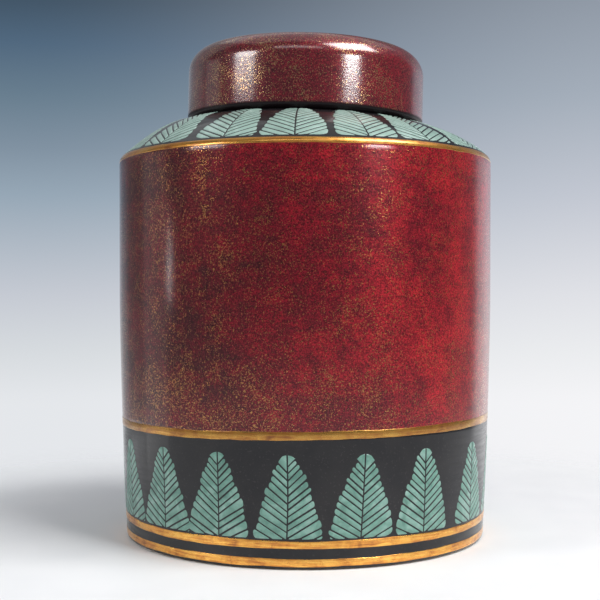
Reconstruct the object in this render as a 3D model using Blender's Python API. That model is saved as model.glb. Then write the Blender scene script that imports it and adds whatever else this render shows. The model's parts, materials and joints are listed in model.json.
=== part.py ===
"""A ginger jar: a hollow turned jar body and a cap lid that lifts off its neck.

The jar stands on its foot ring at z = 0, with its axis on the world Z axis.
Both pieces are profiles turned about that axis by a Screw modifier.
"""

import math

import bmesh
import bpy

# Driving dimensions of the jar body, in metres.
BODY_RADIUS = 0.0790  # widest radius of the wall
FOOT_RADIUS = 0.0757  # outer radius of the foot, where the wall starts
TAPER_HEIGHT = 0.1000  # height at which the wall reaches its widest radius
WALL_HEIGHT = 0.1570  # height at which the wall turns into the shoulder
SHOULDER_RISE = 0.0155  # from the top of the wall up to the ledge round the neck
NECK_RADIUS = 0.0445  # outer radius of the neck
NECK_HEIGHT = 0.0120  # height of the neck above the ledge
WALL = 0.0045  # thickness of the jar's wall and shoulder
NECK_WALL = 0.0040  # thickness of the neck
FLOOR = 0.0060  # thickness of the jar's floor
FOOT_WIDTH = 0.0070  # width of the ring that the jar stands on
FOOT_RECESS = 0.0025  # depth of the hollow inside that ring

# Driving dimensions of the lid, in metres.
LID_HEIGHT = 0.0317  # from its lower edge to the edge of its top
LID_WALL = 0.0045  # thickness of the lid's skirt
LID_TOP = 0.0050  # thickness of the lid's top
LID_DOME = 0.0018  # how far the middle of the top stands above its edge
LID_CORNER = 0.0105  # radius of the round between skirt and top

# Fits and small rounds, in metres.
LID_CLEARANCE = 0.0013  # between the neck and the lid's skirt
SEAT_GAP = 0.0003  # between the ledge and the lid that rests on it
LEDGE_MARGIN = 0.0015  # how far the ledge reaches beyond the lid
LID_LOWER_ROUND = 0.0027  # round on the outside of the lid's lower edge
LID_INNER_ROUND = 0.0040  # round between the lid's skirt and its ceiling
SHOULDER_ROUND = 0.0024  # round between wall and shoulder
FLOOR_ROUND = 0.0120  # round between the inside wall and the floor
FOOT_ROUND = 0.0008  # round on the edges of the foot ring

# Shape of the outlines, and how finely they are turned.
TAPER_POWER = 1.5  # how quickly the wall's widening dies away
SHOULDER_STEEP = 42.0  # degrees below level at the shoulder's outer end
SHOULDER_SHALLOW = 13.0  # degrees below level where the shoulder meets the ledge
TURN_STEPS = 64
MERGE_DISTANCE = 0.00001

# Sizes that follow from the ones above.
LEDGE_Z = WALL_HEIGHT + SHOULDER_RISE
RIM_Z = LEDGE_Z + NECK_HEIGHT
MOUTH_RADIUS = NECK_RADIUS - NECK_WALL
LID_INNER_RADIUS = NECK_RADIUS + LID_CLEARANCE
LID_RADIUS = LID_INNER_RADIUS + LID_WALL
LEDGE_RADIUS = LID_RADIUS + LEDGE_MARGIN
LID_BOTTOM_Z = LEDGE_Z + SEAT_GAP


def clear_scene():
    for scene_object in list(bpy.data.objects):
        bpy.data.objects.remove(scene_object)


def arc(centre, radius, start_deg, end_deg, steps):
    """Points on an arc about (r, z), with angles counted from the +r direction towards +z."""
    points = []
    for step in range(steps + 1):
        angle = math.radians(start_deg + (end_deg - start_deg) * step / steps)
        points.append(
            (centre[0] + radius * math.cos(angle), centre[1] + radius * math.sin(angle))
        )
    return points


def curve(start, start_deg, end, end_deg, steps):
    """A quadratic curve between two points that leaves and arrives at the given slopes."""
    start_slope = math.tan(math.radians(start_deg))
    end_slope = math.tan(math.radians(end_deg))
    bend_r = (end[1] - start[1] + start_slope * start[0] - end_slope * end[0]) / (
        start_slope - end_slope
    )
    bend_z = start[1] + start_slope * (bend_r - start[0])
    points = []
    for step in range(steps + 1):
        t = step / steps
        points.append(
            tuple(
                (1 - t) ** 2 * a + 2 * t * (1 - t) * b + t**2 * c
                for a, b, c in zip(start, (bend_r, bend_z), end)
            )
        )
    return points


def wall_radius(z):
    """Outer radius of the wall: it widens from the foot and then runs straight up."""
    left = max(0.0, 1.0 - z / TAPER_HEIGHT)
    return BODY_RADIUS - (BODY_RADIUS - FOOT_RADIUS) * left**TAPER_POWER


def wall_points(low_z, high_z, steps, inset=0.0):
    """Points up the wall, moved inwards by inset."""
    points = []
    for step in range(steps + 1):
        z = low_z + (high_z - low_z) * step / steps
        points.append((wall_radius(z) - inset, z))
    return points


def jar_outside():
    """From the lip down the outside of the neck, over the shoulder and down the wall."""
    lip_radius = NECK_WALL / 2
    lip = arc((NECK_RADIUS - lip_radius, RIM_Z - lip_radius), lip_radius, 180, 0, 8)
    shoulder_end_z = WALL_HEIGHT - SHOULDER_ROUND * math.tan(math.radians(SHOULDER_STEEP / 2))
    corner = arc(
        (BODY_RADIUS - SHOULDER_ROUND, shoulder_end_z),
        SHOULDER_ROUND,
        90 - SHOULDER_STEEP,
        0,
        4,
    )
    shoulder = curve(
        (LEDGE_RADIUS, LEDGE_Z), -SHOULDER_SHALLOW, corner[0], -SHOULDER_STEEP, 9
    )
    foot_edge = arc(
        (wall_radius(FOOT_ROUND) - FOOT_ROUND, FOOT_ROUND), FOOT_ROUND, 0, -90, 3
    )
    wall = wall_points(FOOT_ROUND, shoulder_end_z, 10)
    wall.reverse()
    return (
        lip
        + [(NECK_RADIUS, LEDGE_Z)]
        + shoulder
        + corner[1:-1]
        + wall[:-1]
        + foot_edge
    )


def jar_underside():
    """The foot ring's inner edge, and the recess inside it up to the axis."""
    ring_radius = FOOT_RADIUS - FOOT_WIDTH
    inner_edge = arc((ring_radius + FOOT_ROUND, FOOT_ROUND), FOOT_ROUND, -90, -180, 3)
    return inner_edge + [(ring_radius - FOOT_ROUND, FOOT_RECESS), (0.0, FOOT_RECESS)]


def jar_inside():
    """From the axis out over the floor, up the inside wall and in under the shoulder to the lip."""
    floor_z = FOOT_RECESS + FLOOR
    corner_z = floor_z + FLOOR_ROUND
    corner = arc(
        (wall_radius(corner_z) - WALL - FLOOR_ROUND, corner_z), FLOOR_ROUND, -90, 0, 6
    )
    top_z = WALL_HEIGHT - WALL
    wall = wall_points(corner_z, top_z, 6, inset=WALL)
    shoulder = curve(
        wall[-1],
        -SHOULDER_STEEP,
        (MOUTH_RADIUS, LEDGE_Z - WALL),
        -SHOULDER_SHALLOW / 2,
        7,
    )
    return [(0.0, floor_z)] + corner + wall[1:] + shoulder[1:]


def lid_section():
    """From the middle of the top down the outside, round the lower edge and up inside to the axis."""
    top_edge_z = LID_BOTTOM_Z + LID_HEIGHT
    corner_centre = (LID_RADIUS - LID_CORNER, top_edge_z - LID_CORNER)
    dome_steps = 6
    dome = []
    for step in range(dome_steps):
        share = step / dome_steps
        dome.append((corner_centre[0] * share, top_edge_z + LID_DOME * (1 - share**2)))
    corner = arc(corner_centre, LID_CORNER, 90, 0, 10)
    lower_edge = arc(
        (LID_RADIUS - LID_LOWER_ROUND, LID_BOTTOM_Z + LID_LOWER_ROUND),
        LID_LOWER_ROUND,
        0,
        -90,
        5,
    )
    ceiling_z = top_edge_z - LID_TOP
    ceiling_corner = arc(
        (LID_INNER_RADIUS - LID_INNER_ROUND, ceiling_z - LID_INNER_ROUND),
        LID_INNER_ROUND,
        0,
        90,
        4,
    )
    inside = [(LID_INNER_RADIUS, LID_BOTTOM_Z)] + ceiling_corner + [(0.0, ceiling_z)]
    return dome + corner + lower_edge + inside


def glaze(name, colour, roughness):
    material = bpy.data.materials.new(name)
    material.use_nodes = True
    shader = material.node_tree.nodes["Principled BSDF"]
    shader.inputs["Base Color"].default_value = (*colour, 1.0)
    shader.inputs["Roughness"].default_value = roughness
    shader.inputs["Metallic"].default_value = 0.0
    return material


def turned(name, section, material):
    """One closed solid: the section, outer side downwards, turned about the Z axis."""
    build = bmesh.new()
    points = [build.verts.new((r, 0.0, z)) for r, z in section]
    for first, second in zip(points, points[1:]):
        build.edges.new((first, second))
    mesh = bpy.data.meshes.new(name)
    build.to_mesh(mesh)
    build.free()
    mesh.materials.append(material)
    piece = bpy.data.objects.new(name, mesh)
    bpy.context.scene.collection.objects.link(piece)
    screw = piece.modifiers.new("Turn", "SCREW")
    screw.axis = "Z"
    screw.angle = 2 * math.pi
    screw.steps = TURN_STEPS
    screw.render_steps = TURN_STEPS
    screw.use_merge_vertices = True
    screw.merge_threshold = MERGE_DISTANCE
    screw.use_smooth_shade = True
    return piece


def make_jar_body():
    section = jar_inside() + jar_outside() + jar_underside()
    return turned("jar_body", section, glaze("red_lustre_glaze", (0.26, 0.03, 0.03), 0.15))


def make_lid():
    """The lid slides up along Z, and its origin is on that axis."""
    return turned("lid", lid_section(), glaze("lid_lustre_glaze", (0.17, 0.03, 0.03), 0.15))


def main():
    clear_scene()
    make_jar_body()
    make_lid()


main()
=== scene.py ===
"""Looks of the ginger jar: glazes, gold lines, enamel leaves and lid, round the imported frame.

Every length is in metres and every place is in the frame's own axes: +Z up, the jar's axis on Z.
An azimuth is an angle round the jar: 0 faces the camera (-Y), and positive turns to the right (+X).
"""

import bisect
import json
import math
import random

import bpy
from mathutils import Matrix, Vector

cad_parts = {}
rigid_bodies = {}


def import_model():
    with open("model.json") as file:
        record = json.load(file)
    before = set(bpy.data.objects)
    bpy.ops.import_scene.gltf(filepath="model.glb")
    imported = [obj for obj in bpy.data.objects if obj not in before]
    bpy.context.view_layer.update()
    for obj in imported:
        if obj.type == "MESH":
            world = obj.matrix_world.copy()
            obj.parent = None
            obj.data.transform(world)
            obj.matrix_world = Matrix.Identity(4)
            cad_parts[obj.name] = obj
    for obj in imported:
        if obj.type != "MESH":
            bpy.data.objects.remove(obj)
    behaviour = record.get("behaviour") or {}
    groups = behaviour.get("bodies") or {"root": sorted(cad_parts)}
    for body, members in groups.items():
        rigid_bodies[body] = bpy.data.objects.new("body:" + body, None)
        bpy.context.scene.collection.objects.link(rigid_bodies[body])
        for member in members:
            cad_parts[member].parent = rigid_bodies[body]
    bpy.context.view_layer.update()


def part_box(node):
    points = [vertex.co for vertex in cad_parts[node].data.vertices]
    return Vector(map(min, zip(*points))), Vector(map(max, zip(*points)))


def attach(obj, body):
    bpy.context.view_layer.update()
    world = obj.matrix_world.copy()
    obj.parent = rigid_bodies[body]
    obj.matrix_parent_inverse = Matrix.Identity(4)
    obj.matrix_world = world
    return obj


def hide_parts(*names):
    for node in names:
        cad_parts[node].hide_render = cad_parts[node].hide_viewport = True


for startup_object in list(bpy.data.objects):
    bpy.data.objects.remove(startup_object)
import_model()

MM = 0.001

# ---- sizes from the frame
JAR_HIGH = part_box("jar_body")[1]
LID_LOW, LID_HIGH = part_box("lid")
BODY_RADIUS = JAR_HIGH.x
RIM_Z = JAR_HIGH.z
LID_RADIUS = LID_HIGH.x
LID_BOTTOM_Z = LID_LOW.z

# ---- sizes of the jar's outline
FOOT_RADIUS = BODY_RADIUS - 3.3 * MM
TAPER_HEIGHT = 100.0 * MM  # below this the wall draws in to the foot
TAPER_POWER = 1.5
NECK_HEIGHT = 12.0 * MM
LEDGE_Z = RIM_Z - NECK_HEIGHT
SHOULDER_RISE = 15.5 * MM
WALL_HEIGHT = LEDGE_Z - SHOULDER_RISE
SHOULDER_ROUND = 4.0 * MM
SHOULDER_STEEP = math.radians(42.0)  # slope of the shoulder where it leaves the wall
SHOULDER_SHALLOW = math.radians(13.0)  # and where it meets the ledge
LEDGE_RADIUS = LID_RADIUS + 1.5 * MM
LID_WALL = 4.5 * MM
LID_CLEARANCE = 1.3 * MM
LID_INNER_RADIUS = LID_RADIUS - LID_WALL
NECK_RADIUS = LID_INNER_RADIUS - LID_CLEARANCE
NECK_WALL = 4.0 * MM
MOUTH_RADIUS = NECK_RADIUS - NECK_WALL
WALL = 4.5 * MM
FLOOR_Z = 8.5 * MM
FLOOR_ROUND = 12.0 * MM
FOOT_WIDTH = 7.0 * MM
FOOT_RECESS = 2.5 * MM
FOOT_ROUND = 1.2 * MM
FOOT_FLAT = 2.0 * MM
FLOOR_CENTRE = 6.0 * MM
NECK_FILLET = 0.5 * MM

# ---- sizes of the lid's outline
LID_DOME = 1.8 * MM
LID_EDGE_Z = LID_HIGH.z - LID_DOME
LID_CORNER = 10.5 * MM
LID_LOWER_ROUND = 2.7 * MM
LID_INNER_ROUND = 4.0 * MM
LID_CEILING_Z = LID_EDGE_Z - 5.0 * MM
CEILING_CENTRE = 5.0 * MM
LID_RIM_ROUND = 0.6 * MM

# ---- glaze, gold and enamel
GLAZE = 0.35 * MM  # how deep the ceramic lies under the glaze's face
GLAZE_BACK = 0.55 * MM  # how deep the back of a glaze piece lies, just inside the ceramic
GLAZE_EDGE = 0.25 * MM  # round on a glaze piece's open edge
EDGE_BEND = 0.3  # where a rounded edge has its middle point, as a share of the round
TURN_STEPS = 384
GOLD_STEPS = 900
GOLD_SEED = 41

BLACK_BOTTOM_Z = 0.45 * MM
RED_BOTTOM_Z = 49.3 * MM
RED_TOP_Z = WALL_HEIGHT + 0.2 * MM
BLACK_TOP_RADIUS = NECK_RADIUS + 0.6 * MM
LEDGE_END_RADIUS = NECK_RADIUS + 0.9 * MM  # where the ceramic's ledge turns up into the neck
LEDGE_SEARCH = 100 * MM  # along the outline, well past the foot

# Tilt of the shoulder, neck and lid about the Y axis: the right side sits lower.
LEAN = math.radians(1.4)
LEAN_FULL_RADIUS = 55.0 * MM
LEAN_NONE_RADIUS = 77.0 * MM
LEAN_START_Z = 146.0 * MM
LEAN_END_Z = 162.0 * MM

# How far the thrown shapes stand off a circle: (size, turns round, phase, phase per metre up).
JAR_WAVES = ((0.07 * MM, 2, 0.6, 9.0), (0.04 * MM, 3, -1.1, 31.0), (0.03 * MM, 5, 2.3, -47.0))
LID_WAVES = ((0.05 * MM, 2, 1.0, 0.0), (0.03 * MM, 3, 0.0, 60.0))


# ---- outlines
def smooth_step(value, low, high):
    share = min(1.0, max(0.0, (value - low) / (high - low)))
    return share * share * (3.0 - 2.0 * share)


def between(low, high, steps):
    """Evenly spaced values from low to high, with both ends."""
    return [low + (high - low) * step / steps for step in range(steps + 1)]


def arc(centre, radius, start_deg, end_deg, steps):
    """Points on an arc about (r, z), with angles counted from +r towards +z."""
    points = []
    for degrees in between(start_deg, end_deg, steps):
        angle = math.radians(degrees)
        points.append((centre[0] + radius * math.cos(angle), centre[1] + radius * math.sin(angle)))
    return points


def line(start, end, steps):
    return list(zip(between(start[0], end[0], steps), between(start[1], end[1], steps)))


def bend(start, start_angle, end, end_angle, steps):
    """A quadratic curve between two points that leaves and arrives at the given slopes."""
    first = math.tan(start_angle)
    last = math.tan(end_angle)
    corner_r = (end[1] - start[1] + first * start[0] - last * end[0]) / (first - last)
    corner_z = start[1] + first * (corner_r - start[0])
    points = []
    for t in between(0.0, 1.0, steps):
        point = []
        for a, b, c in zip(start, (corner_r, corner_z), end):
            point.append((1 - t) ** 2 * a + 2 * t * (1 - t) * b + t**2 * c)
        points.append(tuple(point))
    return points


def wall_radius(z):
    left = max(0.0, 1.0 - z / TAPER_HEIGHT)
    return BODY_RADIUS - (BODY_RADIUS - FOOT_RADIUS) * left**TAPER_POWER


def wall_points(low_z, high_z, steps, inset=0.0):
    return [(wall_radius(z) - inset, z) for z in between(low_z, high_z, steps)]


def join(*runs):
    """One list of points from runs whose ends meet."""
    points = list(runs[0])
    for run in runs[1:]:
        start = 1 if math.dist(points[-1], run[0]) < 1e-6 else 0
        points.extend(run[start:])
    return points


class Outline:
    """A line of (r, z) points that can be walked by its length, with its outward normal."""

    def __init__(self, points):
        self.points = points
        self.lengths = [0.0]
        for first, second in zip(points, points[1:]):
            self.lengths.append(self.lengths[-1] + math.dist(first, second))
        self.normals = [self._normal(index) for index in range(len(points))]

    def _normal(self, index):
        before = self.points[max(0, index - 1)]
        after = self.points[min(len(self.points) - 1, index + 1)]
        run = math.dist(before, after)
        return ((after[1] - before[1]) / run, (before[0] - after[0]) / run)

    def at(self, length):
        """(r, z, normal r, normal z) at this distance along the line."""
        found = bisect.bisect_right(self.lengths, length) - 1
        low = min(max(found, 0), len(self.lengths) - 2)
        high = low + 1
        share = (length - self.lengths[low]) / (self.lengths[high] - self.lengths[low])
        share = min(1.0, max(0.0, share))
        mixed = []
        for pair in (self.points, self.normals):
            for a, b in zip(pair[low], pair[high]):
                mixed.append(a + (b - a) * share)
        return tuple(mixed)

    def lifted(self, length, lift):
        """(r, z) at this distance along the line and this far off it."""
        r, z, normal_r, normal_z = self.at(length)
        return r + normal_r * lift, z + normal_z * lift

    def _first(self, axis, sign, value, from_length):
        """Where a coordinate, times the sign, first rises to a value beyond from_length."""
        for index in range(1, len(self.points)):
            if self.lengths[index] < from_length:
                continue
            before = sign * self.points[index - 1][axis]
            after = sign * self.points[index][axis]
            if before <= value <= after and after > before:
                start, end = self.lengths[index - 1], self.lengths[index]
                return start + (end - start) * (value - before) / (after - before)
        return self.lengths[-1]

    def length_at_z(self, z):
        """Where the line first rises to this height."""
        return self._first(1, 1, z, 0.0)

    def length_at_r(self, r, from_length):
        """Where the line first comes in to this radius."""
        return self._first(0, -1, -r, from_length)


def jar_outline():
    """The glazed outside: up from the foot, over the shoulder and in to the neck."""
    round_z = WALL_HEIGHT - SHOULDER_ROUND * math.tan(SHOULDER_STEEP / 2)
    round_centre = (BODY_RADIUS - SHOULDER_ROUND, round_z)
    round_end = 90 - math.degrees(SHOULDER_STEEP)
    corner = arc(round_centre, SHOULDER_ROUND, 0, round_end, steps=12)
    foot_centre = (wall_radius(FOOT_ROUND) - FOOT_ROUND, FOOT_ROUND)
    ledge = (LEDGE_RADIUS, LEDGE_Z)
    return join(
        arc(foot_centre, FOOT_ROUND, -90, 0, steps=6),
        wall_points(FOOT_ROUND, round_z, steps=120),
        corner,
        bend(corner[-1], -SHOULDER_STEEP, ledge, -SHOULDER_SHALLOW, steps=40),
        line(ledge, (NECK_RADIUS, LEDGE_Z), steps=8),
    )


def lid_outline():
    """The glazed outside: from the lower edge up the side and in to the middle of the top."""
    corner_r = LID_RADIUS - LID_CORNER
    side_low = LID_BOTTOM_Z + LID_LOWER_ROUND
    side_high = LID_EDGE_Z - LID_CORNER
    lower_centre = (LID_RADIUS - LID_LOWER_ROUND, side_low)
    dome = []
    for share in between(1.0, 0.0, 24):
        dome.append((corner_r * share, LID_EDGE_Z + LID_DOME * (1 - share**2)))
    return join(
        arc(lower_centre, LID_LOWER_ROUND, -90, 0, steps=12),
        line((LID_RADIUS, side_low), (LID_RADIUS, side_high), steps=16),
        arc((corner_r, side_high), LID_CORNER, 0, 90, steps=24),
        dome,
    )


JAR = Outline(jar_outline())
LID = Outline(lid_outline())


# ---- from outline to space
def hand_turned(waves, azimuth, z):
    """How far a thrown shape stands off a perfect circle here."""
    off = 0.0
    for size, turns, phase, twist in waves:
        off += size * math.sin(turns * azimuth + phase + twist * z)
    return off


LEAN_PIVOT = Vector((0.0, 0.0, LEDGE_Z))
LEAN_TURN = Matrix.Rotation(LEAN, 3, "Y")


def leaned(point, share=1.0):
    """The point turned by the lean about the ledge's middle, or by a share of it."""
    turned = LEAN_TURN @ (point - LEAN_PIVOT) + LEAN_PIVOT
    return point.lerp(turned, share)


def spun(azimuth, r, z):
    return Vector((r * math.sin(azimuth), -r * math.cos(azimuth), z))


def jar_point(azimuth, r, z):
    """A point of the jar's body, with its hand-turned waver and the lean of its upper part."""
    off_axis = smooth_step(r, 10 * MM, 60 * MM)
    point = spun(azimuth, r + off_axis * hand_turned(JAR_WAVES, azimuth, z), z)
    inwards = 1.0 - smooth_step(r, LEAN_FULL_RADIUS, LEAN_NONE_RADIUS)
    upwards = smooth_step(z, LEAN_START_Z, LEAN_END_Z)
    return leaned(point, inwards * upwards)


def lid_point(azimuth, r, z):
    """A point of the lid, with its own slight waver and the lean of the ledge it rests on."""
    off_axis = smooth_step(r, 5 * MM, 40 * MM)
    return leaned(spun(azimuth, r + off_axis * hand_turned(LID_WAVES, azimuth, z), z))


def on_jar(azimuth, length, lift=0.0):
    """A point over the jar's glazed face, lifted off it along its normal."""
    return jar_point(azimuth, *JAR.lifted(length, lift))


# ---- meshes
def add_object(name, data):
    made = bpy.data.objects.new(name, data)
    bpy.context.scene.collection.objects.link(made)
    return made


def add_mesh(name, points, faces, material):
    mesh = bpy.data.meshes.new(name)
    mesh.from_pydata(points, [], faces)
    mesh.materials.append(material)
    mesh.validate()
    mesh.update()
    return add_object(name, mesh)


def new_piece(name, points, faces, material, body, replaced):
    """A smooth mesh that rides on a body and is shown instead of a CAD node."""
    piece = add_mesh(name, points, faces, material)
    piece.data.shade_smooth()
    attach(piece, body)
    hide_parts(replaced)


def add_ring(name, section, steps, material):
    """A closed section swept round the jar; section(azimuth) is its stations (length, lift)."""
    points = []
    for step in range(steps):
        azimuth = 2 * math.pi * step / steps
        points.extend(on_jar(azimuth, length, lift) for length, lift in section(azimuth))
    count = len(points) // steps
    faces = []
    for step in range(steps):
        here, there = step * count, (step + 1) % steps * count
        for index in range(count):
            after = (index + 1) % count
            faces.append((here + index, there + index, there + after, here + after))
    new_piece(name, points, faces, material, "jar", "jar_body")


def add_turned(name, place, outline, material, body, replaced):
    """An open outline that starts and ends on the axis, turned about it."""
    start = place(0.0, 0.0, outline[0][1])
    end = place(0.0, 0.0, outline[-1][1])
    inner = outline[1:-1]
    points = [start, end]
    for step in range(TURN_STEPS):
        azimuth = 2 * math.pi * step / TURN_STEPS
        points.extend(place(azimuth, r, z) for r, z in inner)
    count = len(inner)
    faces = []
    for step in range(TURN_STEPS):
        here, there = 2 + step * count, 2 + (step + 1) % TURN_STEPS * count
        faces.append((0, there, here))
        for index in range(count - 1):
            faces.append((here + index, there + index, there + index + 1, here + index + 1))
        faces.append((here + count - 1, there + count - 1, 1))
    new_piece(name, points, faces, material, body, replaced)


def offset_points(outline, start, end, lift, steps):
    """Points (r, z) along part of an outline, lifted off it."""
    return [outline.lifted(length, lift) for length in between(start, end, steps)]


def glaze_section(start, end, steps):
    """Stations (length, lift) round a closed skin of glaze between two places on the outline."""
    halfway = EDGE_BEND * GLAZE_EDGE
    front = [(length, 0.0) for length in between(start, end, steps)]
    back = [(length, -GLAZE_BACK) for length in between(end, start, steps)]
    return [
        (start, -GLAZE_EDGE),
        (start + halfway, -halfway),
        (start + GLAZE_EDGE, 0.0),
        *front[1:-1],
        (end - GLAZE_EDGE, 0.0),
        (end - halfway, -halfway),
        (end, -GLAZE_EDGE),
        *back,
    ]


def glaze_skin(name, start, end, steps, material):
    """A ring of glaze on the jar between two lengths along its outline."""
    stations = glaze_section(start, end, steps)
    add_ring(name, lambda azimuth: stations, TURN_STEPS, material)


# ---- material helpers
class Nodes:
    """A material's node tree, with short calls for the nodes that the glazes are made of."""

    def __init__(self, tree):
        self.tree = tree

    def add(self, kind, **settings):
        node = self.tree.nodes.new(kind)
        for key, value in settings.items():
            setattr(node, key, value)
        return node

    def put(self, value, socket):
        """Links a socket to another, or sets it."""
        if isinstance(value, bpy.types.NodeSocket):
            self.tree.links.new(value, socket)
        elif isinstance(value, tuple) and len(value) == 3 and socket.type == "RGBA":
            socket.default_value = (*value, 1.0)
        else:
            socket.default_value = value

    def place(self):
        """Where the point is on the object, in metres."""
        return self.add("ShaderNodeTexCoord").outputs["Object"]

    def stretched(self, scale, offset=(0.0, 0.0, 0.0)):
        node = self.add("ShaderNodeMapping")
        self.put(self.place(), node.inputs["Vector"])
        node.inputs["Scale"].default_value = scale
        node.inputs["Location"].default_value = offset
        return node.outputs["Vector"]

    def noise(self, size, detail=2.0, rough=0.5, swirl=0.0, vector=None, shift=0.0):
        """Noise whose features are about this size, in metres."""
        node = self.add("ShaderNodeTexNoise")
        if vector is None:
            vector = self.stretched((1.0, 1.0, 1.0), (shift, 0.37 * shift, 0.71 * shift))
        self.put(vector, node.inputs["Vector"])
        node.inputs["Scale"].default_value = 1.0 / size
        node.inputs["Detail"].default_value = detail
        node.inputs["Roughness"].default_value = rough
        node.inputs["Distortion"].default_value = swirl
        return node.outputs["Fac"]

    def math(self, operation, first, second=0.5, clamp=False):
        node = self.add("ShaderNodeMath", operation=operation, use_clamp=clamp)
        self.put(first, node.inputs[0])
        self.put(second, node.inputs[1])
        return node.outputs[0]

    def times(self, first, second):
        return self.math("MULTIPLY", first, second)

    def total(self, first, *others):
        for other in others:
            first = self.math("ADD", first, other)
        return first

    def over(self, value, least, gain):
        """How far a value is over the least that counts, times the gain, from 0 to 1."""
        return self.math("MULTIPLY", self.math("SUBTRACT", value, least), gain, clamp=True)

    def scaled(self, colour, factor):
        node = self.add("ShaderNodeVectorMath", operation="SCALE")
        self.put(colour, node.inputs[0])
        self.put(factor, node.inputs["Scale"])
        return node.outputs[0]

    def fit(self, value, low, high, to_low=0.0, to_high=1.0):
        """The value moved from one range to another, smoothly and held at its ends."""
        node = self.add("ShaderNodeMapRange", interpolation_type="SMOOTHSTEP", clamp=True)
        self.put(value, node.inputs["Value"])
        self.put(low, node.inputs["From Min"])
        self.put(high, node.inputs["From Max"])
        self.put(to_low, node.inputs["To Min"])
        self.put(to_high, node.inputs["To Max"])
        return node.outputs["Result"]

    def mix(self, share, first, second, blend="MIX"):
        node = self.add("ShaderNodeMix", data_type="RGBA", blend_type=blend)
        self.put(share, node.inputs[0])
        self.put(first, node.inputs[6])
        self.put(second, node.inputs[7])
        return node.outputs[2]

    def ramp(self, value, stops):
        """Colours along a value, from (place, colour) pairs."""
        node = self.add("ShaderNodeValToRGB")
        self.put(value, node.inputs["Fac"])
        bars = node.color_ramp.elements
        bars[0].position, bars[0].color = stops[0][0], (*stops[0][1], 1.0)
        bars[1].position, bars[1].color = stops[-1][0], (*stops[-1][1], 1.0)
        for position, colour in stops[1:-1]:
            bars.new(position).color = (*colour, 1.0)
        return node.outputs["Color"]

    def axis(self, name):
        node = self.add("ShaderNodeSeparateXYZ")
        self.put(self.place(), node.inputs[0])
        return node.outputs[name]

    def bump(self, height, depth, normal=None):
        """A bump whose height runs over this depth, in metres."""
        node = self.add("ShaderNodeBump")
        self.put(height, node.inputs["Height"])
        node.inputs["Distance"].default_value = depth
        node.inputs["Strength"].default_value = 1.0
        if normal is not None:
            self.put(normal, node.inputs["Normal"])
        return node.outputs["Normal"]

    def dress(self, shader, colour, roughness, normal=None):
        """Gives a Principled shader its colour, roughness and bump."""
        self.put(colour, shader.inputs["Base Color"])
        self.put(roughness, shader.inputs["Roughness"])
        if normal is not None:
            self.put(normal, shader.inputs["Normal"])


def new_material(slot):
    """(material, nodes, Principled shader) for one of the record's slots."""
    material = bpy.data.materials.new(slot + "_look")
    material["record_slot"] = slot
    material.use_nodes = True
    return material, Nodes(material.node_tree), material.node_tree.nodes["Principled BSDF"]


def clear_coat(nodes, shader, roughness, weight, ior=1.5, sand=0.0):
    """The clear, faintly uneven glaze over the colours. sand is the depth of a fine grain in it."""
    shader.inputs["Coat Weight"].default_value = weight
    shader.inputs["Coat Roughness"].default_value = roughness
    shader.inputs["Coat IOR"].default_value = ior
    normal = nodes.bump(nodes.noise(2.2 * MM, detail=1.0), 0.004 * MM)
    if sand:
        normal = nodes.bump(nodes.noise(SAND_SIZE, detail=1.0, shift=0.97), sand, normal)
    nodes.put(normal, shader.inputs["Coat Normal"])


# ---- materials
# A noise's shift only keeps its pattern apart from the others of the same material.
SAND_SIZE = 0.55 * MM
FAINT_SPECULAR = 0.1  # under a clear coat, which has the gloss
LUSTRE_COAT = 0.9
# Painted shade: colour and coat of the lid's lower edge, near-black and thin, for the shadowed
# crevice over the shoulder.
LID_CREVICE_SHADE_COAT = 0.1
LID_CREVICE_SHADE_COLOUR = (0.008, 0.005, 0.006)
STREAK_SCALE = (40.0, 40.0, 360.0)  # features per metre along X, Y and Z
BRUSH_SCALE = (60.0, 60.0, 700.0)
GOLD_BRUSH_SCALE = (90.0, 90.0, 1100.0)

CLOUD_SHARE = 0.30  # what each noise adds to the lustre's tone
BLOTCH_SHARE = 0.28
STREAK_SHARE = 0.12
# Painted shade and light: the lustre's tone is lowered to the left and raised to the right, as the
# key light falls from the right.
SHADED_LEFT_TONE = 0.050
LIT_RIGHT_TONE = 0.220
TONE_STOPS = (0.36, 0.50, 0.66)
PIT_STRENGTH = 0.62
# Painted sheen: extra gold flecks to the left, standing in for the light glinting on the lustre
# there.
GOLD_LEFT_SHEEN = 0.07


def darker(colour, share):
    return tuple(share * channel for channel in colour)


def threads(nodes, size, width, share, shift):
    """Short winding threads, 1 in a thread and 0 off it. share says how much of each is drawn."""
    grain = nodes.noise(size, detail=1.0, swirl=0.8, shift=shift)
    away = nodes.math("ABSOLUTE", nodes.math("SUBTRACT", grain, 0.5))
    thread = nodes.fit(away, width, 0.45 * width)
    breaks = nodes.noise(0.75 * size, detail=1.0, shift=shift + 0.05)
    left_out = nodes.fit(share, 0.0, 1.0, 0.72, 0.28)
    return nodes.times(thread, nodes.over(breaks, left_out, 18.0))


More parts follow.
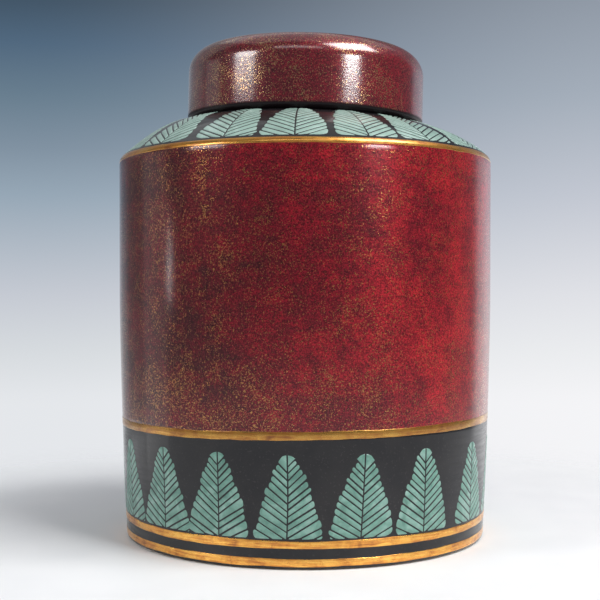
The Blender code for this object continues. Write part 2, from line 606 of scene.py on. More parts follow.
def lustre_clouds(nodes, dark, middle, bright):
    """The colour under the gold: soft clouds and level streaks from brown to crimson, with painted
    shade to the left and painted light to the right.
    """
    cloud = nodes.noise(30 * MM, detail=3.0, rough=0.6, swirl=0.4, shift=0.11)
    blotch = nodes.noise(5 * MM, detail=3.0, rough=0.65, swirl=0.3, shift=0.23)
    level = nodes.stretched(STREAK_SCALE)
    streak = nodes.noise(1.0, detail=3.0, rough=0.6, swirl=0.3, vector=level)
    tone = nodes.total(
        nodes.times(cloud, CLOUD_SHARE),
        nodes.times(blotch, BLOTCH_SHARE),
        nodes.times(streak, STREAK_SHARE),
        # Painted shade to the left, painted light to the right.
        nodes.fit(nodes.axis("X"), -75 * MM, 60 * MM, SHADED_LEFT_TONE, LIT_RIGHT_TONE),
    )
    colour = nodes.ramp(tone, list(zip(TONE_STOPS, (dark, middle, bright))))
    pits = threads(nodes, 0.90 * MM, 0.075, 0.55, 0.31)
    colour = nodes.mix(nodes.times(pits, PIT_STRENGTH), colour, darker(dark, 0.25))
    grain = nodes.noise(0.60 * MM, detail=2.0, rough=0.6, swirl=0.5, shift=0.33)
    grain = nodes.fit(grain, 0.38, 0.62)
    shade = nodes.ramp(grain, [(0.0, (0.60, 0.60, 0.62)), (1.0, (1.45, 1.50, 1.50))])
    return nodes.mix(1.0, colour, shade, "MULTIPLY")


def lustre_gold(nodes, amount, reach, low_more):
    """Where gold flecks lie: fine threads and dots, thicker in clouds and low down, and thicker to
    the left as a painted sheen of light glinting there.
    """
    density = nodes.noise(14 * MM, detail=3.0, rough=0.65, swirl=0.5, shift=0.47)
    density = nodes.fit(density, 0.30, 0.70, amount - reach, amount + reach)
    # More flecks to the left: a painted sheen of the left light's glints.
    left = nodes.fit(nodes.axis("X"), 0.0, -66 * MM, 0.0, GOLD_LEFT_SHEEN)
    low = nodes.fit(nodes.axis("Z"), 85 * MM, 50 * MM, 0.0, low_more)
    density = nodes.math("ADD", density, nodes.total(left, low), clamp=True)
    worms = threads(nodes, 0.80 * MM, 0.065, density, 0.59)
    dots = nodes.noise(0.50 * MM, detail=1.0, shift=0.71)
    fewest = nodes.fit(density, 0.0, 1.0, 0.74, 0.52)
    return nodes.math("MAXIMUM", worms, nodes.over(dots, fewest, 16.0))


def lustre_glaze(name, dark, middle, bright, gold, amount, reach, low_more, crevice_shade_z, ior):
    """Red lustre under clear glaze: clouds of brown and crimson with gold flecks that glitter.

    amount is how much gold there is, reach how far that varies from place to place, and
    low_more how much more there is low on the wall. Below the crevice height, if one is given,
    the colour runs to near-black with a thin coat: painted shade and dark reflection of the
    crevice between the lid and the shoulder.
    """
    material, nodes, shader = new_material(name)
    colour = lustre_clouds(nodes, dark, middle, bright)
    flecks = lustre_gold(nodes, amount, reach, low_more)
    gold_tone = nodes.mix(nodes.noise(4 * MM, detail=2.0, shift=0.83), gold, darker(gold, 0.62))
    colour = nodes.mix(flecks, colour, gold_tone)
    metal = nodes.fit(flecks, 0.0, 1.0, 0.25, 0.95)
    clear_coat(nodes, shader, roughness=0.15, weight=LUSTRE_COAT, ior=ior, sand=0.020 * MM)
    # Painted shade: towards the lid's lower edge the colour goes near-black, the metal goes out and
    # the coat thins, standing in for the crevice's shadow and dark reflection.
    if crevice_shade_z is not None:
        level = nodes.total(nodes.axis("Z"), nodes.times(nodes.axis("X"), math.tan(LEAN)))
        edge = nodes.fit(level, crevice_shade_z + 0.7 * MM, crevice_shade_z - 0.5 * MM)
        colour = nodes.mix(edge, colour, LID_CREVICE_SHADE_COLOUR)
        metal = nodes.times(metal, nodes.math("SUBTRACT", 1.0, edge))
        coat = nodes.fit(edge, 0.0, 1.0, LUSTRE_COAT, LID_CREVICE_SHADE_COAT)
        nodes.put(coat, shader.inputs["Coat Weight"])
    roughness = nodes.fit(flecks, 0.0, 1.0, 0.42, 0.26)
    grain = nodes.noise(SAND_SIZE, detail=2.0, rough=0.6, swirl=0.4, shift=0.91)
    nodes.dress(shader, colour, roughness, nodes.bump(grain, 0.05 * MM))
    nodes.put(metal, shader.inputs["Metallic"])
    shader.inputs["Specular IOR Level"].default_value = FAINT_SPECULAR
    return material


def red_lustre():
    return lustre_glaze(
        "red_lustre",
        dark=(0.055, 0.007, 0.010),
        middle=(0.155, 0.005, 0.012),
        bright=(0.400, 0.012, 0.019),
        gold=(0.70, 0.32, 0.10),
        amount=0.29,
        reach=0.12,
        low_more=0.08,
        crevice_shade_z=None,
        ior=1.45,
    )


def lid_lustre():
    return lustre_glaze(
        "lid_lustre",
        dark=(0.055, 0.008, 0.012),
        middle=(0.115, 0.007, 0.013),
        bright=(0.230, 0.009, 0.017),
        gold=(0.78, 0.46, 0.20),
        amount=0.34,
        reach=0.18,
        low_more=0.0,
        # Painted shade on the lid starts this high over its lower edge.
        crevice_shade_z=LID_BOTTOM_Z + 2.9 * MM,
        ior=1.75,
    )


def black_ground():
    """Near-black glaze with faint dust and brush marks."""
    material, nodes, shader = new_material("black_ground")
    cloud = nodes.noise(18 * MM, detail=4.0, rough=0.6, swirl=0.4, shift=0.13)
    colour = nodes.ramp(cloud, [(0.35, (0.004, 0.004, 0.006)), (0.65, (0.011, 0.010, 0.011))])
    dust = nodes.fit(nodes.noise(0.8 * MM, detail=2.0, rough=0.6, shift=0.29), 0.62, 0.70)
    colour = nodes.mix(nodes.times(dust, 0.5), colour, (0.05, 0.045, 0.045))
    level = nodes.stretched(BRUSH_SCALE)
    marks = nodes.noise(1.0, detail=3.0, rough=0.6, swirl=0.2, vector=level)
    roughness = nodes.fit(marks, 0.3, 0.7, 0.30, 0.50)
    nodes.dress(shader, colour, roughness, nodes.bump(marks, 0.005 * MM))
    shader.inputs["Specular IOR Level"].default_value = FAINT_SPECULAR
    clear_coat(nodes, shader, roughness=0.08, weight=0.70)
    return material


def leaf_enamel():
    """Sea-green enamel, mottled like brushwork and paler up on the shoulder."""
    material, nodes, shader = new_material("leaf_enamel")
    wash = nodes.noise(5.5 * MM, detail=3.0, rough=0.6, swirl=0.6, shift=0.17)
    greens = ((0.085, 0.210, 0.165), (0.150, 0.320, 0.255), (0.265, 0.430, 0.370))
    colour = nodes.ramp(wash, list(zip((0.30, 0.50, 0.70), greens)))
    grain = nodes.noise(0.9 * MM, detail=3.0, rough=0.6, swirl=0.3, shift=0.37)
    colour = nodes.mix(nodes.fit(grain, 0.55, 0.75, 0.0, 0.35), colour, (0.10, 0.30, 0.30))
    paler = nodes.fit(nodes.axis("Z"), 60 * MM, 150 * MM, 0.0, 0.40)
    colour = nodes.mix(paler, colour, (0.42, 0.50, 0.46))
    roughness = nodes.fit(grain, 0.3, 0.7, 0.34, 0.52)
    nodes.dress(shader, colour, roughness, nodes.bump(grain, 0.015 * MM))
    clear_coat(nodes, shader, roughness=0.10, weight=0.6)
    return material


def gilding():
    """Brushed-on gold, worn to orange-brown in streaks, brightest on the two lines at the foot."""
    material, nodes, shader = new_material("gilding")
    level = nodes.stretched(GOLD_BRUSH_SCALE)
    streak = nodes.noise(1.0, detail=4.0, rough=0.65, swirl=0.5, vector=level)
    patch = nodes.noise(6 * MM, detail=3.0, rough=0.6, swirl=0.5, shift=0.43)
    wear = nodes.total(nodes.times(streak, 0.6), nodes.times(patch, 0.4))
    golds = ((0.290, 0.090, 0.016), (0.560, 0.230, 0.036), (0.780, 0.420, 0.085))
    colour = nodes.ramp(wear, list(zip((0.36, 0.46, 0.60), golds)))
    low = nodes.fit(nodes.axis("Z"), 20 * MM, 40 * MM, 1.28, 0.70)
    high = nodes.fit(nodes.axis("Z"), 60 * MM, 150 * MM, 0.0, 0.18)
    colour = nodes.scaled(colour, nodes.total(low, high))
    roughness = nodes.fit(streak, 0.3, 0.7, 0.38, 0.20)
    nodes.dress(shader, colour, roughness, nodes.bump(streak, 0.02 * MM))
    nodes.put(nodes.fit(wear, 0.38, 0.60, 0.60, 0.92), shader.inputs["Metallic"])
    clear_coat(nodes, shader, roughness=0.12, weight=0.4)
    return material


def clear_glaze():
    """Clear glaze over cream stoneware, bare and matt where the jar stands."""
    material, nodes, shader = new_material("clear_glaze")
    cloud = nodes.noise(15 * MM, detail=4.0, rough=0.6, swirl=0.3, shift=0.19)
    colour = nodes.ramp(cloud, [(0.35, (0.60, 0.53, 0.42)), (0.65, (0.74, 0.68, 0.57))])
    specks = nodes.fit(nodes.noise(1.1 * MM, detail=2.0, rough=0.7, shift=0.53), 0.68, 0.74)
    colour = nodes.mix(nodes.times(specks, 0.6), colour, (0.25, 0.16, 0.09))
    bare = nodes.fit(nodes.axis("Z"), 1.0 * MM, 0.5 * MM)
    colour = nodes.mix(bare, colour, (0.62, 0.50, 0.38))
    roughness = nodes.fit(bare, 0.0, 1.0, 0.22, 0.85)
    uneven = nodes.noise(1.6 * MM, detail=3.0, rough=0.6)
    nodes.dress(shader, colour, roughness, nodes.bump(uneven, 0.02 * MM))
    return material


# ---- the jar's ceramic and glazes
def jar_inside():
    """The bare inside: down from the neck's lip, out under the shoulder and in across the floor."""
    lip_z = RIM_Z - NECK_WALL / 2
    under_ledge = (MOUTH_RADIUS, LEDGE_Z - WALL)
    corner_z = FLOOR_Z + FLOOR_ROUND
    corner_centre = (wall_radius(corner_z) - WALL - FLOOR_ROUND, corner_z)
    corner = arc(corner_centre, FLOOR_ROUND, 0, -90, steps=12)
    wall = wall_points(corner_z, WALL_HEIGHT - WALL, steps=30, inset=WALL)
    return join(
        line((MOUTH_RADIUS, lip_z), under_ledge, steps=6),
        bend(under_ledge, -SHOULDER_SHALLOW / 2, wall[-1], -SHOULDER_STEEP, steps=20),
        list(reversed(wall)),
        corner,
        line(corner[-1], (FLOOR_CENTRE, FLOOR_Z), steps=8),
        [(0.0, FLOOR_Z)],
    )


def jar_ceramic(material):
    """The thrown body: foot, wall and shoulder under the glazes, bare neck, and the inside."""
    ring_radius = FOOT_RADIUS - FOOT_WIDTH
    outside_end = JAR.length_at_r(LEDGE_END_RADIUS, LEDGE_SEARCH)
    lip_radius = NECK_WALL / 2
    lip_z = RIM_Z - lip_radius
    fillet_z = LEDGE_Z + NECK_FILLET
    outline = join(
        [(0.0, FOOT_RECESS), (ring_radius * 0.5, FOOT_RECESS)],
        [(ring_radius - FOOT_ROUND, FOOT_RECESS)],
        arc((ring_radius + FOOT_ROUND, FOOT_ROUND), FOOT_ROUND, 180, 270, steps=5),
        [(FOOT_RADIUS - FOOT_FLAT, 0.0)],
        offset_points(JAR, 0.0, outside_end, -GLAZE, steps=150),
        arc((NECK_RADIUS + NECK_FILLET, fillet_z), NECK_FILLET, 270, 180, steps=4),
        line((NECK_RADIUS, fillet_z), (NECK_RADIUS, lip_z), steps=5),
        arc((NECK_RADIUS - lip_radius, lip_z), lip_radius, 0, 180, steps=14),
        jar_inside(),
    )
    add_turned("jar_ceramic", jar_point, outline, material, "jar", "jar_body")


def black_glaze_base(material):
    start = JAR.length_at_z(BLACK_BOTTOM_Z)
    end = JAR.length_at_z(RED_BOTTOM_Z)
    glaze_skin("black_glaze_base", start, end, 30, material)


def red_glaze_wall(material):
    start = JAR.length_at_z(RED_BOTTOM_Z)
    end = JAR.length_at_z(RED_TOP_Z)
    glaze_skin("red_glaze_wall", start, end, 60, material)


def black_glaze_shoulder(material):
    start = JAR.length_at_z(RED_TOP_Z)
    end = JAR.length_at_r(BLACK_TOP_RADIUS, LEDGE_SEARCH)
    glaze_skin("black_glaze_shoulder", start, end, 60, material)


# ---- gold lines
def waver(rng, amount, count):
    """A smooth random function of azimuth that closes on itself."""
    waves = []
    for index in range(count):
        turns = rng.randint(2 + 5 * index, 7 + 9 * index)
        size = amount * rng.uniform(0.4, 1.0) / (1.0 + 0.35 * index)
        waves.append((turns, size, rng.uniform(0.0, 2 * math.pi)))

    def value(azimuth):
        return sum(size * math.sin(turns * azimuth + phase) for turns, size, phase in waves)

    return value


GOLD_EDGE_WAVER = 0.10 * MM
GOLD_HEIGHT_WAVER = 0.012 * MM
GOLD_LIFT = 0.085 * MM
GOLD_BEVEL = 0.22 * MM
GOLD_BEVEL_RISE = 0.6  # height halfway up the bevel, as a share of the lift
GOLD_CROWN = 1.15  # height in the middle, as a share of the lift
GOLD_CREASE = 0.01 * MM
GOLD_ROOT = -0.25 * MM

# Each line's name, its lower and upper edge in height, and how far its right side is raised.
GOLD_LINES = (
    ("gold_line_foot", 1.3 * MM, 4.2 * MM, 0.0),
    ("gold_line_leaves", 7.9 * MM, 10.8 * MM, 0.0),
    ("gold_line_wall", 47.8 * MM, 50.9 * MM, 1.07 * MM),
    ("gold_line_shoulder", WALL_HEIGHT - 1.0 * MM, WALL_HEIGHT + 1.2 * MM, 0.0),
)


def gold_line(name, low, high, tilt, rng, material):
    """A brushed ring of gold between two lengths on the outline; tilt lifts its right side."""
    low_edge = waver(rng, GOLD_EDGE_WAVER, 6)
    high_edge = waver(rng, GOLD_EDGE_WAVER, 6)
    height = waver(rng, GOLD_HEIGHT_WAVER, 5)

    def section(azimuth):
        shift = tilt * math.sin(azimuth)
        start = low + shift + low_edge(azimuth)
        end = high + shift + high_edge(azimuth)
        lift = GOLD_LIFT + height(azimuth)
        middle = (start + end) / 2
        return [
            (start, GOLD_ROOT),
            (start, GOLD_CREASE),
            (start + EDGE_BEND * GOLD_BEVEL, GOLD_BEVEL_RISE * lift),
            (start + GOLD_BEVEL, lift),
            (middle, GOLD_CROWN * lift),
            (end - GOLD_BEVEL, lift),
            (end - EDGE_BEND * GOLD_BEVEL, GOLD_BEVEL_RISE * lift),
            (end, GOLD_CREASE),
            (end, GOLD_ROOT),
            (middle, GOLD_ROOT),
        ]

    add_ring(name, section, GOLD_STEPS, material)


def gold_lines(material):
    rng = random.Random(GOLD_SEED)
    for name, low_z, high_z, tilt in GOLD_LINES:
        low = JAR.length_at_z(low_z)
        high = JAR.length_at_z(high_z)
        gold_line(name, low, high, tilt, rng, material)


# ---- leaves
LEAVES = 17  # round each row
LEAF_ROUND_POWER = 0.70
LEAF_LENGTHS = (0.985, 1.015)  # each leaf's own length and half-widths, as shares of the usual
LEAF_WIDTHS = (0.93, 1.05)
LEAF_SWAY = 0.35 * MM
LEAF_LEAN_STRAY = 0.012
RIPPLE = 0.30 * MM
RIPPLE_TURNS = 1.2
HEEL_HEIGHT = 4.0 * MM
HEEL_NARROWING = 0.12
TIP_BLUNT = 2.9 * MM
TIP_BEND = 125.0  # drop of the tip per squared distance from the midrib

VEIN = 0.56 * MM
VEIN_GAPS = (0.40, 0.62)  # half of a vein's width, as a share of VEIN
VEIN_PITCHES = (0.90, 1.10)
VEIN_BOWS = (-4.0, 2.0)
VEIN_ANGLE = 27.0  # degrees over level at the leaf's base
VEIN_ANGLE_MORE = 20.0  # added on the way to its tip
VEIN_ANGLE_POWER = 0.8
VEIN_ANGLE_STRAY = 1.6
VEINS_START = -3.4  # where the first and last vein leave the midrib, in lobe pitches
VEINS_END = 1.6

LOBE_PITCH = 2.66 * MM
LOBE_LIFT = 0.15 * MM
LOBE_ROOT = -0.30 * MM
LOBE_END_ROUND = 0.50 * MM
LOBE_STRAY = (-0.45 * MM, 0.30 * MM)
LOBE_LEAST_GAP = 0.25 * MM
LOBE_LEAST_REACH = 0.8 * MM
LOBE_LEAST_LENGTH = 0.15 * MM
LOBE_LEAST_WIDTH = 0.02 * MM
LOBE_SEARCH_STEP = 0.1 * MM
LOBE_HALVINGS = 18
EDGE_HEIGHT = 0.25  # of the lift, at a lobe's very edge
ACROSS = (0.0, 0.07, 0.22, 0.5, 0.78, 0.93, 1.0)
ALONG = (0.0, 0.03, 0.12, 0.35, 0.6, 0.82, 0.94, 0.985, 1.0)


class Leaf:
    """One painted leaf: where its midrib runs, how wide it is, and how its veins lie."""

    def __init__(self, rng, azimuth, base, length, half_width, lean=0.0):
        self.azimuth = azimuth
        self.base = base
        self.length = length * rng.uniform(*LEAF_LENGTHS)
        self.half_width = {side: half_width * rng.uniform(*LEAF_WIDTHS) for side in (-1, 1)}
        self.sway = rng.uniform(-LEAF_SWAY, LEAF_SWAY)
        self.lean = lean + rng.uniform(-LEAF_LEAN_STRAY, LEAF_LEAN_STRAY)
        self.ripple = {side: rng.uniform(0, 2 * math.pi) for side in (-1, 1)}
        self.rng = rng

    def edge(self, side, height):
        """Half-width at a height above the leaf's base."""
        left = max(0.0, self.length - height + TIP_BLUNT) / (self.length + TIP_BLUNT)
        turn = self.ripple[side] + 2 * math.pi * RIPPLE_TURNS * height / self.length
        heel = 1.0 - HEEL_NARROWING * max(0.0, 1.0 - height / HEEL_HEIGHT) ** 2
        width = heel * self.half_width[side] * left**LEAF_ROUND_POWER
        return width + RIPPLE * math.sin(turn) * min(1.0, 3 * left)

    def crown(self, side, across):
        """Height of the leaf's outline at a distance from its midrib."""
        share = min(1.0, max(0.0, across / self.half_width[side]))
        whole = self.length + TIP_BLUNT
        slope = whole * (1.0 - share ** (1.0 / LEAF_ROUND_POWER))
        return min(self.length - TIP_BEND * across * across, slope)

    def midrib(self, height):
        return self.lean * height + self.sway * math.sin(math.pi * height / self.length)

    def place(self, side, across, height, lift):
        """A point of the leaf on the jar."""
        length = self.base + height
        radius = JAR.at(length)[0]
        across = side * across + self.midrib(height)
        return on_jar(self.azimuth + across / radius, length, lift)

    def veins(self):
        """(height at the midrib, slope, curve, half the gap) of each vein, from the bottom up."""
        found = []
        height = VEINS_START * LOBE_PITCH + self.rng.uniform(0.0, 0.6) * LOBE_PITCH
        while height < self.length - VEINS_END * LOBE_PITCH:
            up = min(1.0, max(0.0, (height + HEEL_HEIGHT) / self.length))
            stray = self.rng.uniform(-VEIN_ANGLE_STRAY, VEIN_ANGLE_STRAY)
            angle = math.radians(VEIN_ANGLE + VEIN_ANGLE_MORE * up**VEIN_ANGLE_POWER + stray)
            bow = self.rng.uniform(*VEIN_BOWS)
            gap = VEIN * self.rng.uniform(*VEIN_GAPS)
            found.append((height, math.tan(angle), bow, gap))
            height += LOBE_PITCH * self.rng.uniform(*VEIN_PITCHES)
        return found


def vein_height(vein, across, above):
    """Height of a vein's upper or lower side at a distance from the midrib."""
    height, slope, bow, gap = vein
    rise = gap * math.hypot(1.0, slope)
    return height + slope * across + bow * across * across + (rise if above else -rise)


def lobe_reach(leaf, side, low, high, share):
    """How far out a line across the lobe runs before it meets the leaf's outline."""
    near, far = 0.0, 1.2 * leaf.half_width[side]
    for _ in range(LOBE_HALVINGS):
        middle = (near + far) / 2
        height = low(middle) + (high(middle) - low(middle)) * share
        if middle < leaf.edge(side, height):
            near = middle
        else:
            far = middle
    return near


def lobe_rows(leaf, side, low, high, start, tip):
    """(across, height) in rows from a lobe's lower side to its upper one."""
    rows = []
    stray = leaf.rng.uniform(*LOBE_STRAY)
    for share in ACROSS:
        reach = lobe_reach(leaf, side, low, high, share) + stray
        bulge = 1.0 - math.sqrt(max(0.0, 1.0 - (2 * share - 1) ** 2))
        reach = max(start + LOBE_LEAST_LENGTH, reach - LOBE_END_ROUND * bulge)
        row = []
        for step in ALONG:
            across = start + (reach - start) * step
            bottom, top = low(across), high(across)
            if tip:
                top = min(top, leaf.crown(side, across))
            top = max(top, bottom + LOBE_LEAST_WIDTH)
            row.append((across, bottom + (top - bottom) * share))
        rows.append(row)
    return rows


def lobe_rim():
    """(row, column) of each point round a lobe's edge, in order."""
    last_row = len(ACROSS) - 1
    last_column = len(ALONG) - 1
    rim = [(0, column) for column in range(last_column + 1)]
    rim += [(row, last_column) for row in range(1, last_row + 1)]
    rim += [(last_row, column) for column in range(last_column - 1, -1, -1)]
    rim += [(row, 0) for row in range(last_row - 1, 0, -1)]
    return rim


def add_lobe(leaf, side, low, high, start, tip, points, faces):
    """One raised lobe between two veins, as a closed cushion of enamel."""
    rows = lobe_rows(leaf, side, low, high, start, tip)
    rim = lobe_rim()
    first = len(points)
    columns = len(ALONG)
    for share, row in zip(ACROSS, rows):
        side_round = min(1.0, 4.5 * min(share, 1.0 - share) + EDGE_HEIGHT)
        for step, (across, height) in zip(ALONG, row):
            end_round = min(1.0, 9.0 * min(step, 1.0 - step) + EDGE_HEIGHT)
            lift = LOBE_LIFT * min(side_round, end_round)
            points.append(leaf.place(side, across, height, lift))
    root = len(points)
    for row, column in rim:
        across, height = rows[row][column]
        points.append(leaf.place(side, across, height, LOBE_ROOT))
    quads = []
    for row in range(len(ACROSS) - 1):
        for column in range(columns - 1):
            corner = first + row * columns + column
            quads.append((corner, corner + 1, corner + columns + 1, corner + columns))
    for index, (row, column) in enumerate(rim):
        after = (index + 1) % len(rim)
        next_row, next_column = rim[after]
        here = first + row * columns + column
        there = first + next_row * columns + next_column
        quads.append((here, root + index, root + after, there))
    quads.append(tuple(range(root, root + len(rim))))
    for quad in quads:
        faces.append(quad if side > 0 else tuple(reversed(quad)))


def leaf_side(leaf, side, points, faces):
    """The lobes on one side of the midrib."""
    veins = leaf.veins()
    inner = VEIN * 0.5
    for lower, upper in zip(veins, veins[1:]):

        def low(across, vein=lower):
            return max(0.0, vein_height(vein, across, True))

        def high(across, vein=upper):
            return vein_height(vein, across, False)

        start = inner
        while high(start) < low(start) + LOBE_LEAST_GAP and start < leaf.half_width[side]:
            start += LOBE_SEARCH_STEP
        if start + LOBE_LEAST_REACH < lobe_reach(leaf, side, low, high, 0.5):
            add_lobe(leaf, side, low, high, start, False, points, faces)

    def over_last(across):
        return vein_height(veins[-1], across, True)

    def whole_length(_):
        return leaf.length

    add_lobe(leaf, side, over_last, whole_length, inner, True, points, faces)


def draw_leaf(name, leaf, material):
    points, faces = [], []
    for side in (-1, 1):
        leaf_side(leaf, side, points, faces)
    new_piece(name, points, faces, material, "jar", "jar_body")


def spread(known):
    """Azimuths of a whole row of leaves, from the known ones: the rest share the gap evenly."""
    known = [math.radians(value) for value in known]
    rest = LEAVES - len(known)
    gap = 2 * math.pi - (known[-1] - known[0])
    azimuths = list(known)
    for index in range(rest):
        azimuths.append(known[-1] + gap * (index + 1) / (rest + 1))
    return azimuths


# Azimuths in degrees of the leaves that the photo shows.
BASE_LEAVES = (-65.2, -44.8, -25.0, -5.2, 15.4, 35.6, 58.5)
LEANING_LEAF = 4  # this leaf of the base row leans to the right
LEAF_LEAN = 0.055
SHOULDER_LEAVES = (-46.0, -23.3, -3.0, 17.5, 37.5, 58.5)


def leaf_row(name, seed, azimuths, base, top, half_width, leaning, material):
    """A ring of leaves between two lengths on the outline; leaning is one leaf's place in it."""
    rng = random.Random(seed)
    for index, azimuth in enumerate(spread(azimuths)):
        lean = LEAF_LEAN if index == leaning else 0.0
        leaf = Leaf(rng, azimuth, base, top - base, half_width, lean)
        draw_leaf(f"{name}_{index + 1:02d}", leaf, material)


def base_leaves(material):
    base = JAR.length_at_z(11.5 * MM)
    top = JAR.length_at_z(42.6 * MM)
    leaf_row("base_leaf", 1703, BASE_LEAVES, base, top, 13.9 * MM, LEANING_LEAF, material)


def shoulder_leaves(material):
    base = JAR.length_at_z(WALL_HEIGHT + 2.0 * MM)
    top = JAR.length_at_r(49.0 * MM, base)
    leaf_row("shoulder_leaf", 2909, SHOULDER_LEAVES, base, top, 13.6 * MM, None, material)


# ---- the lid
def lid_ceramic(material):
    """The lid's body: its underside and the bare rim it rests on."""
    outside = offset_points(LID, 0.0, LID.lengths[-1], -GLAZE, steps=90)
    outside.reverse()
    outside[0] = (0.0, outside[0][1])
    ceiling_centre = (LID_INNER_RADIUS - LID_INNER_ROUND, LID_CEILING_Z - LID_INNER_ROUND)
    ceiling = arc(ceiling_centre, LID_INNER_ROUND, 0, 90, steps=10)
    rim_z = LID_BOTTOM_Z + LID_RIM_ROUND
    rim_centre = (LID_INNER_RADIUS + LID_RIM_ROUND, rim_z)
    outline = join(
        outside,
        [(LID_RADIUS - LID_LOWER_ROUND, LID_BOTTOM_Z)],
        arc(rim_centre, LID_RIM_ROUND, 270, 180, steps=5),
        line((LID_INNER_RADIUS, rim_z), ceiling[0], steps=8),
        ceiling,
        line(ceiling[-1], (CEILING_CENTRE, LID_CEILING_Z), steps=8),
        [(0.0, LID_CEILING_Z)],
    )
    outline.reverse()
    add_turned("lid_ceramic", lid_point, outline, material, "lid", "lid")


def lid_glaze(material):
    """The lustred skin over the lid's top, side and lower edge."""
    outside = offset_points(LID, 0.0, LID.lengths[-1], 0.0, steps=120)
    inside = offset_points(LID, 0.0, LID.lengths[-1], -GLAZE_BACK, steps=60)
    inside.reverse()
    inside[0] = (0.0, inside[0][1])
    outside[-1] = (0.0, outside[-1][1])
    add_turned("lid_glaze", lid_point, inside + outside, material, "lid", "lid")


# ---- stage, light and camera
FLOOR_REACH = 0.55
FLOOR_FADE_START = 0.10
FLOOR_FADE_END = 0.32
FLOOR_STEPS = 96
FLOOR_SPECULAR = 0.35


def floor_material():
    """Pale paper that melts into the surrounding light with distance."""
    material, nodes, shader = new_material("studio_floor")
    grain = nodes.noise(30 * MM, detail=3.0, rough=0.6)
    colour = nodes.mix(grain, (0.89, 0.90, 0.91), (0.94, 0.945, 0.95))
    nodes.dress(shader, colour, nodes.fit(grain, 0.3, 0.7, 0.42, 0.52))
    shader.inputs["Specular IOR Level"].default_value = FLOOR_SPECULAR
    far = nodes.add("ShaderNodeVectorMath", operation="LENGTH")
    nodes.put(nodes.place(), far.inputs[0])
    fade = nodes.fit(far.outputs["Value"], FLOOR_FADE_START, FLOOR_FADE_END)
    clear = nodes.add("ShaderNodeBsdfTransparent")
    blend = nodes.add("ShaderNodeMixShader")
    nodes.put(fade, blend.inputs[0])
    nodes.put(shader.outputs[0], blend.inputs[1])
    nodes.put(clear.outputs[0], blend.inputs[2])
    nodes.put(blend.outputs[0], material.node_tree.nodes["Material Output"].inputs["Surface"])
    return material


def make_floor():
    points = [Vector((0.0, 0.0, 0.0))]
    faces = []
    for step in range(FLOOR_STEPS):
        points.append(spun(2 * math.pi * step / FLOOR_STEPS, FLOOR_REACH, 0.0))
        faces.append((0, 1 + step, 1 + (step + 1) % FLOOR_STEPS))
    add_mesh("studio_floor", points, faces, floor_material())


# Colours of the surroundings by height: 0 straight down, 0.5 level, 1 straight up.
BACKDROP_LEFT = (
    (0.455, (0.78, 0.80, 0.83)),
    (0.475, (0.68, 0.71, 0.74)),
    (0.500, (0.56, 0.59, 0.65)),
    (0.542, (0.31, 0.39, 0.47)),
    (0.563, (0.216, 0.283, 0.356)),
    (0.584, (0.141, 0.209, 0.275)),
    (0.606, (0.082, 0.138, 0.209)),
    (0.625, (0.052, 0.085, 0.125)),
    (0.720, (0.045, 0.060, 0.080)),
    (1.000, (0.080, 0.090, 0.110)),
)
BACKDROP_RIGHT = (
    (0.455, (0.91, 0.91, 0.93)),
    (0.475, (0.84, 0.85, 0.87)),
    (0.500, (0.75, 0.76, 0.80)),
    (0.542, (0.55, 0.58, 0.65)),
    (0.584, (0.38, 0.43, 0.50)),
    (0.625, (0.28, 0.32, 0.38)),
    (0.720, (0.12, 0.13, 0.15)),
    (1.000, (0.10, 0.11, 0.13)),
)
ROOM = (
    (0.424, (0.88, 0.89, 0.91)),
    (0.434, (0.30, 0.31, 0.33)),
    (0.500, (0.14, 0.145, 0.16)),
    (0.650, (0.09, 0.095, 0.11)),
    (1.000, (0.08, 0.085, 0.10)),
)


def make_world():
    """A backdrop, white low down, blue-grey higher up and darker to the left, in a dim room.

    The jar's sides reflect its wings: a dimmer one to the left and a brighter one to the right.
    """
    world = bpy.data.worlds.new("studio")
    bpy.context.scene.world = world
    world.use_nodes = True
    nodes = Nodes(world.node_tree)
    split = nodes.add("ShaderNodeSeparateXYZ")
    nodes.put(nodes.add("ShaderNodeTexCoord").outputs["Generated"], split.inputs[0])
    across = split.outputs["X"]
    height = nodes.total(nodes.times(split.outputs["Z"], 0.5), 0.5)
    left = nodes.ramp(height, BACKDROP_LEFT)
    right = nodes.ramp(height, BACKDROP_RIGHT)
    backdrop = nodes.mix(nodes.fit(across, -0.25, 0.30), left, right)
    left_wing = nodes.fit(across, -0.30, -0.55, 1.0, 0.6)
    right_wing = nodes.fit(across, 0.32, 0.60, 1.0, 1.5)
    backdrop = nodes.scaled(backdrop, nodes.times(left_wing, right_wing))
    right_end = nodes.fit(across, 0.75, 0.85)
    left_end = nodes.fit(across, -0.59, -0.70)
    front = nodes.fit(split.outputs["Y"], 0.10, -0.10)
    outside = nodes.math("MAXIMUM", nodes.math("MAXIMUM", right_end, left_end), front)
    glow = world.node_tree.nodes["Background"]
    nodes.put(nodes.mix(outside, backdrop, nodes.ramp(height, ROOM)), glow.inputs["Color"])
    glow.inputs["Strength"].default_value = 1.0


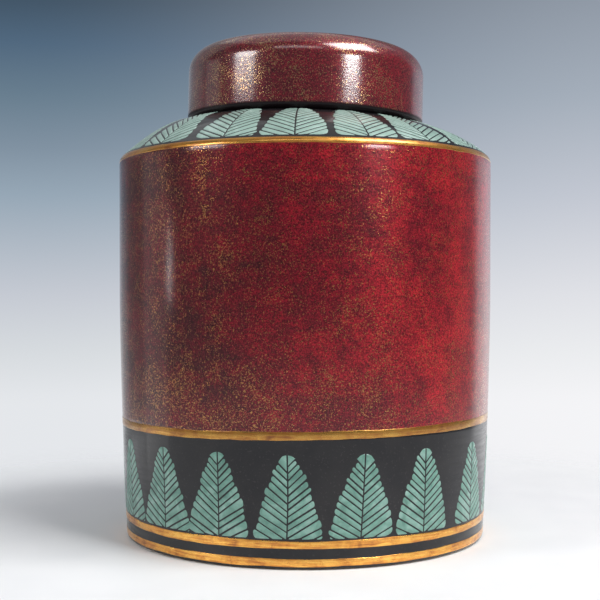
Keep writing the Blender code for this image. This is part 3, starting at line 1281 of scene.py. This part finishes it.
# Name, azimuth and elevation in degrees, distance, width and height in metres, power in watts.
SOFTBOXES = (
    ("key_softbox", 58.0, 50.0, 1.2, 0.75, 0.50, 15.5),
    ("left_softbox", -60.0, 19.8, 1.2, 0.42, 0.31, 4.2),
    ("right_softbox", 43.0, 13.2, 1.3, 0.30, 0.14, 3.6),
    ("front_softbox", -8.0, 42.0, 1.3, 0.90, 0.20, 1.2),
    ("fill_softbox", -145.0, 36.0, 1.2, 1.50, 1.20, 1.3),
    ("top_softbox", 170.0, 80.0, 1.1, 1.60, 1.40, 3.0),
    ("wing_softbox", -100.0, -4.0, 1.3, 0.50, 0.90, 0.60),
    ("side_strip", -86.0, -2.1, 1.3, 0.04, 0.07, 0.16),
)


def softbox(name, azimuth, elevation, distance, width, height, power):
    """A light that faces the jar's rim from an azimuth and an elevation in degrees."""
    light = bpy.data.lights.new(name, "AREA")
    light.shape = "RECTANGLE"
    light.size = width
    light.size_y = height
    light.energy = power
    lamp = add_object(name, light)
    target = Vector((0.0, 0.0, RIM_Z))
    rise = math.radians(elevation)
    arm = spun(math.radians(azimuth), distance * math.cos(rise), distance * math.sin(rise))
    lamp.location = target + arm
    lamp.rotation_euler = (-arm).to_track_quat("-Z", "Y").to_euler()
    lamp.visible_camera = False


def make_lights():
    for settings in SOFTBOXES:
        softbox(*settings)


CAMERA_DISTANCE = 489.5 * MM
CAMERA_SIDE = -2.1 * MM
CAMERA_HEIGHT = 100.7 * MM
CAMERA_LENS = 68.08  # both in millimetres, as Blender takes them
CAMERA_SENSOR = 36.0
CAMERA_NEAREST = 0.01
CAMERA_PITCH = math.radians(-0.26)


def make_camera():
    camera = bpy.data.cameras.new("camera")
    camera.sensor_width = CAMERA_SENSOR
    camera.lens = CAMERA_LENS
    camera.clip_start = CAMERA_NEAREST
    eye = add_object("camera", camera)
    eye.location = (CAMERA_SIDE, -CAMERA_DISTANCE, CAMERA_HEIGHT)
    eye.rotation_euler = (math.pi / 2 + CAMERA_PITCH, 0.0, 0.0)
    bpy.context.scene.camera = eye


# ---- everything together
def make_jar():
    ceramic = clear_glaze()
    black = black_ground()
    gold = gilding()
    enamel = leaf_enamel()
    jar_ceramic(ceramic)
    black_glaze_base(black)
    red_glaze_wall(red_lustre())
    black_glaze_shoulder(black)
    gold_lines(gold)
    base_leaves(enamel)
    shoulder_leaves(enamel)
    lid_ceramic(ceramic)
    lid_glaze(lid_lustre())


make_jar()
make_floor()
make_world()
make_lights()
make_camera()
bpy.context.scene.view_settings.view_transform = "Standard"
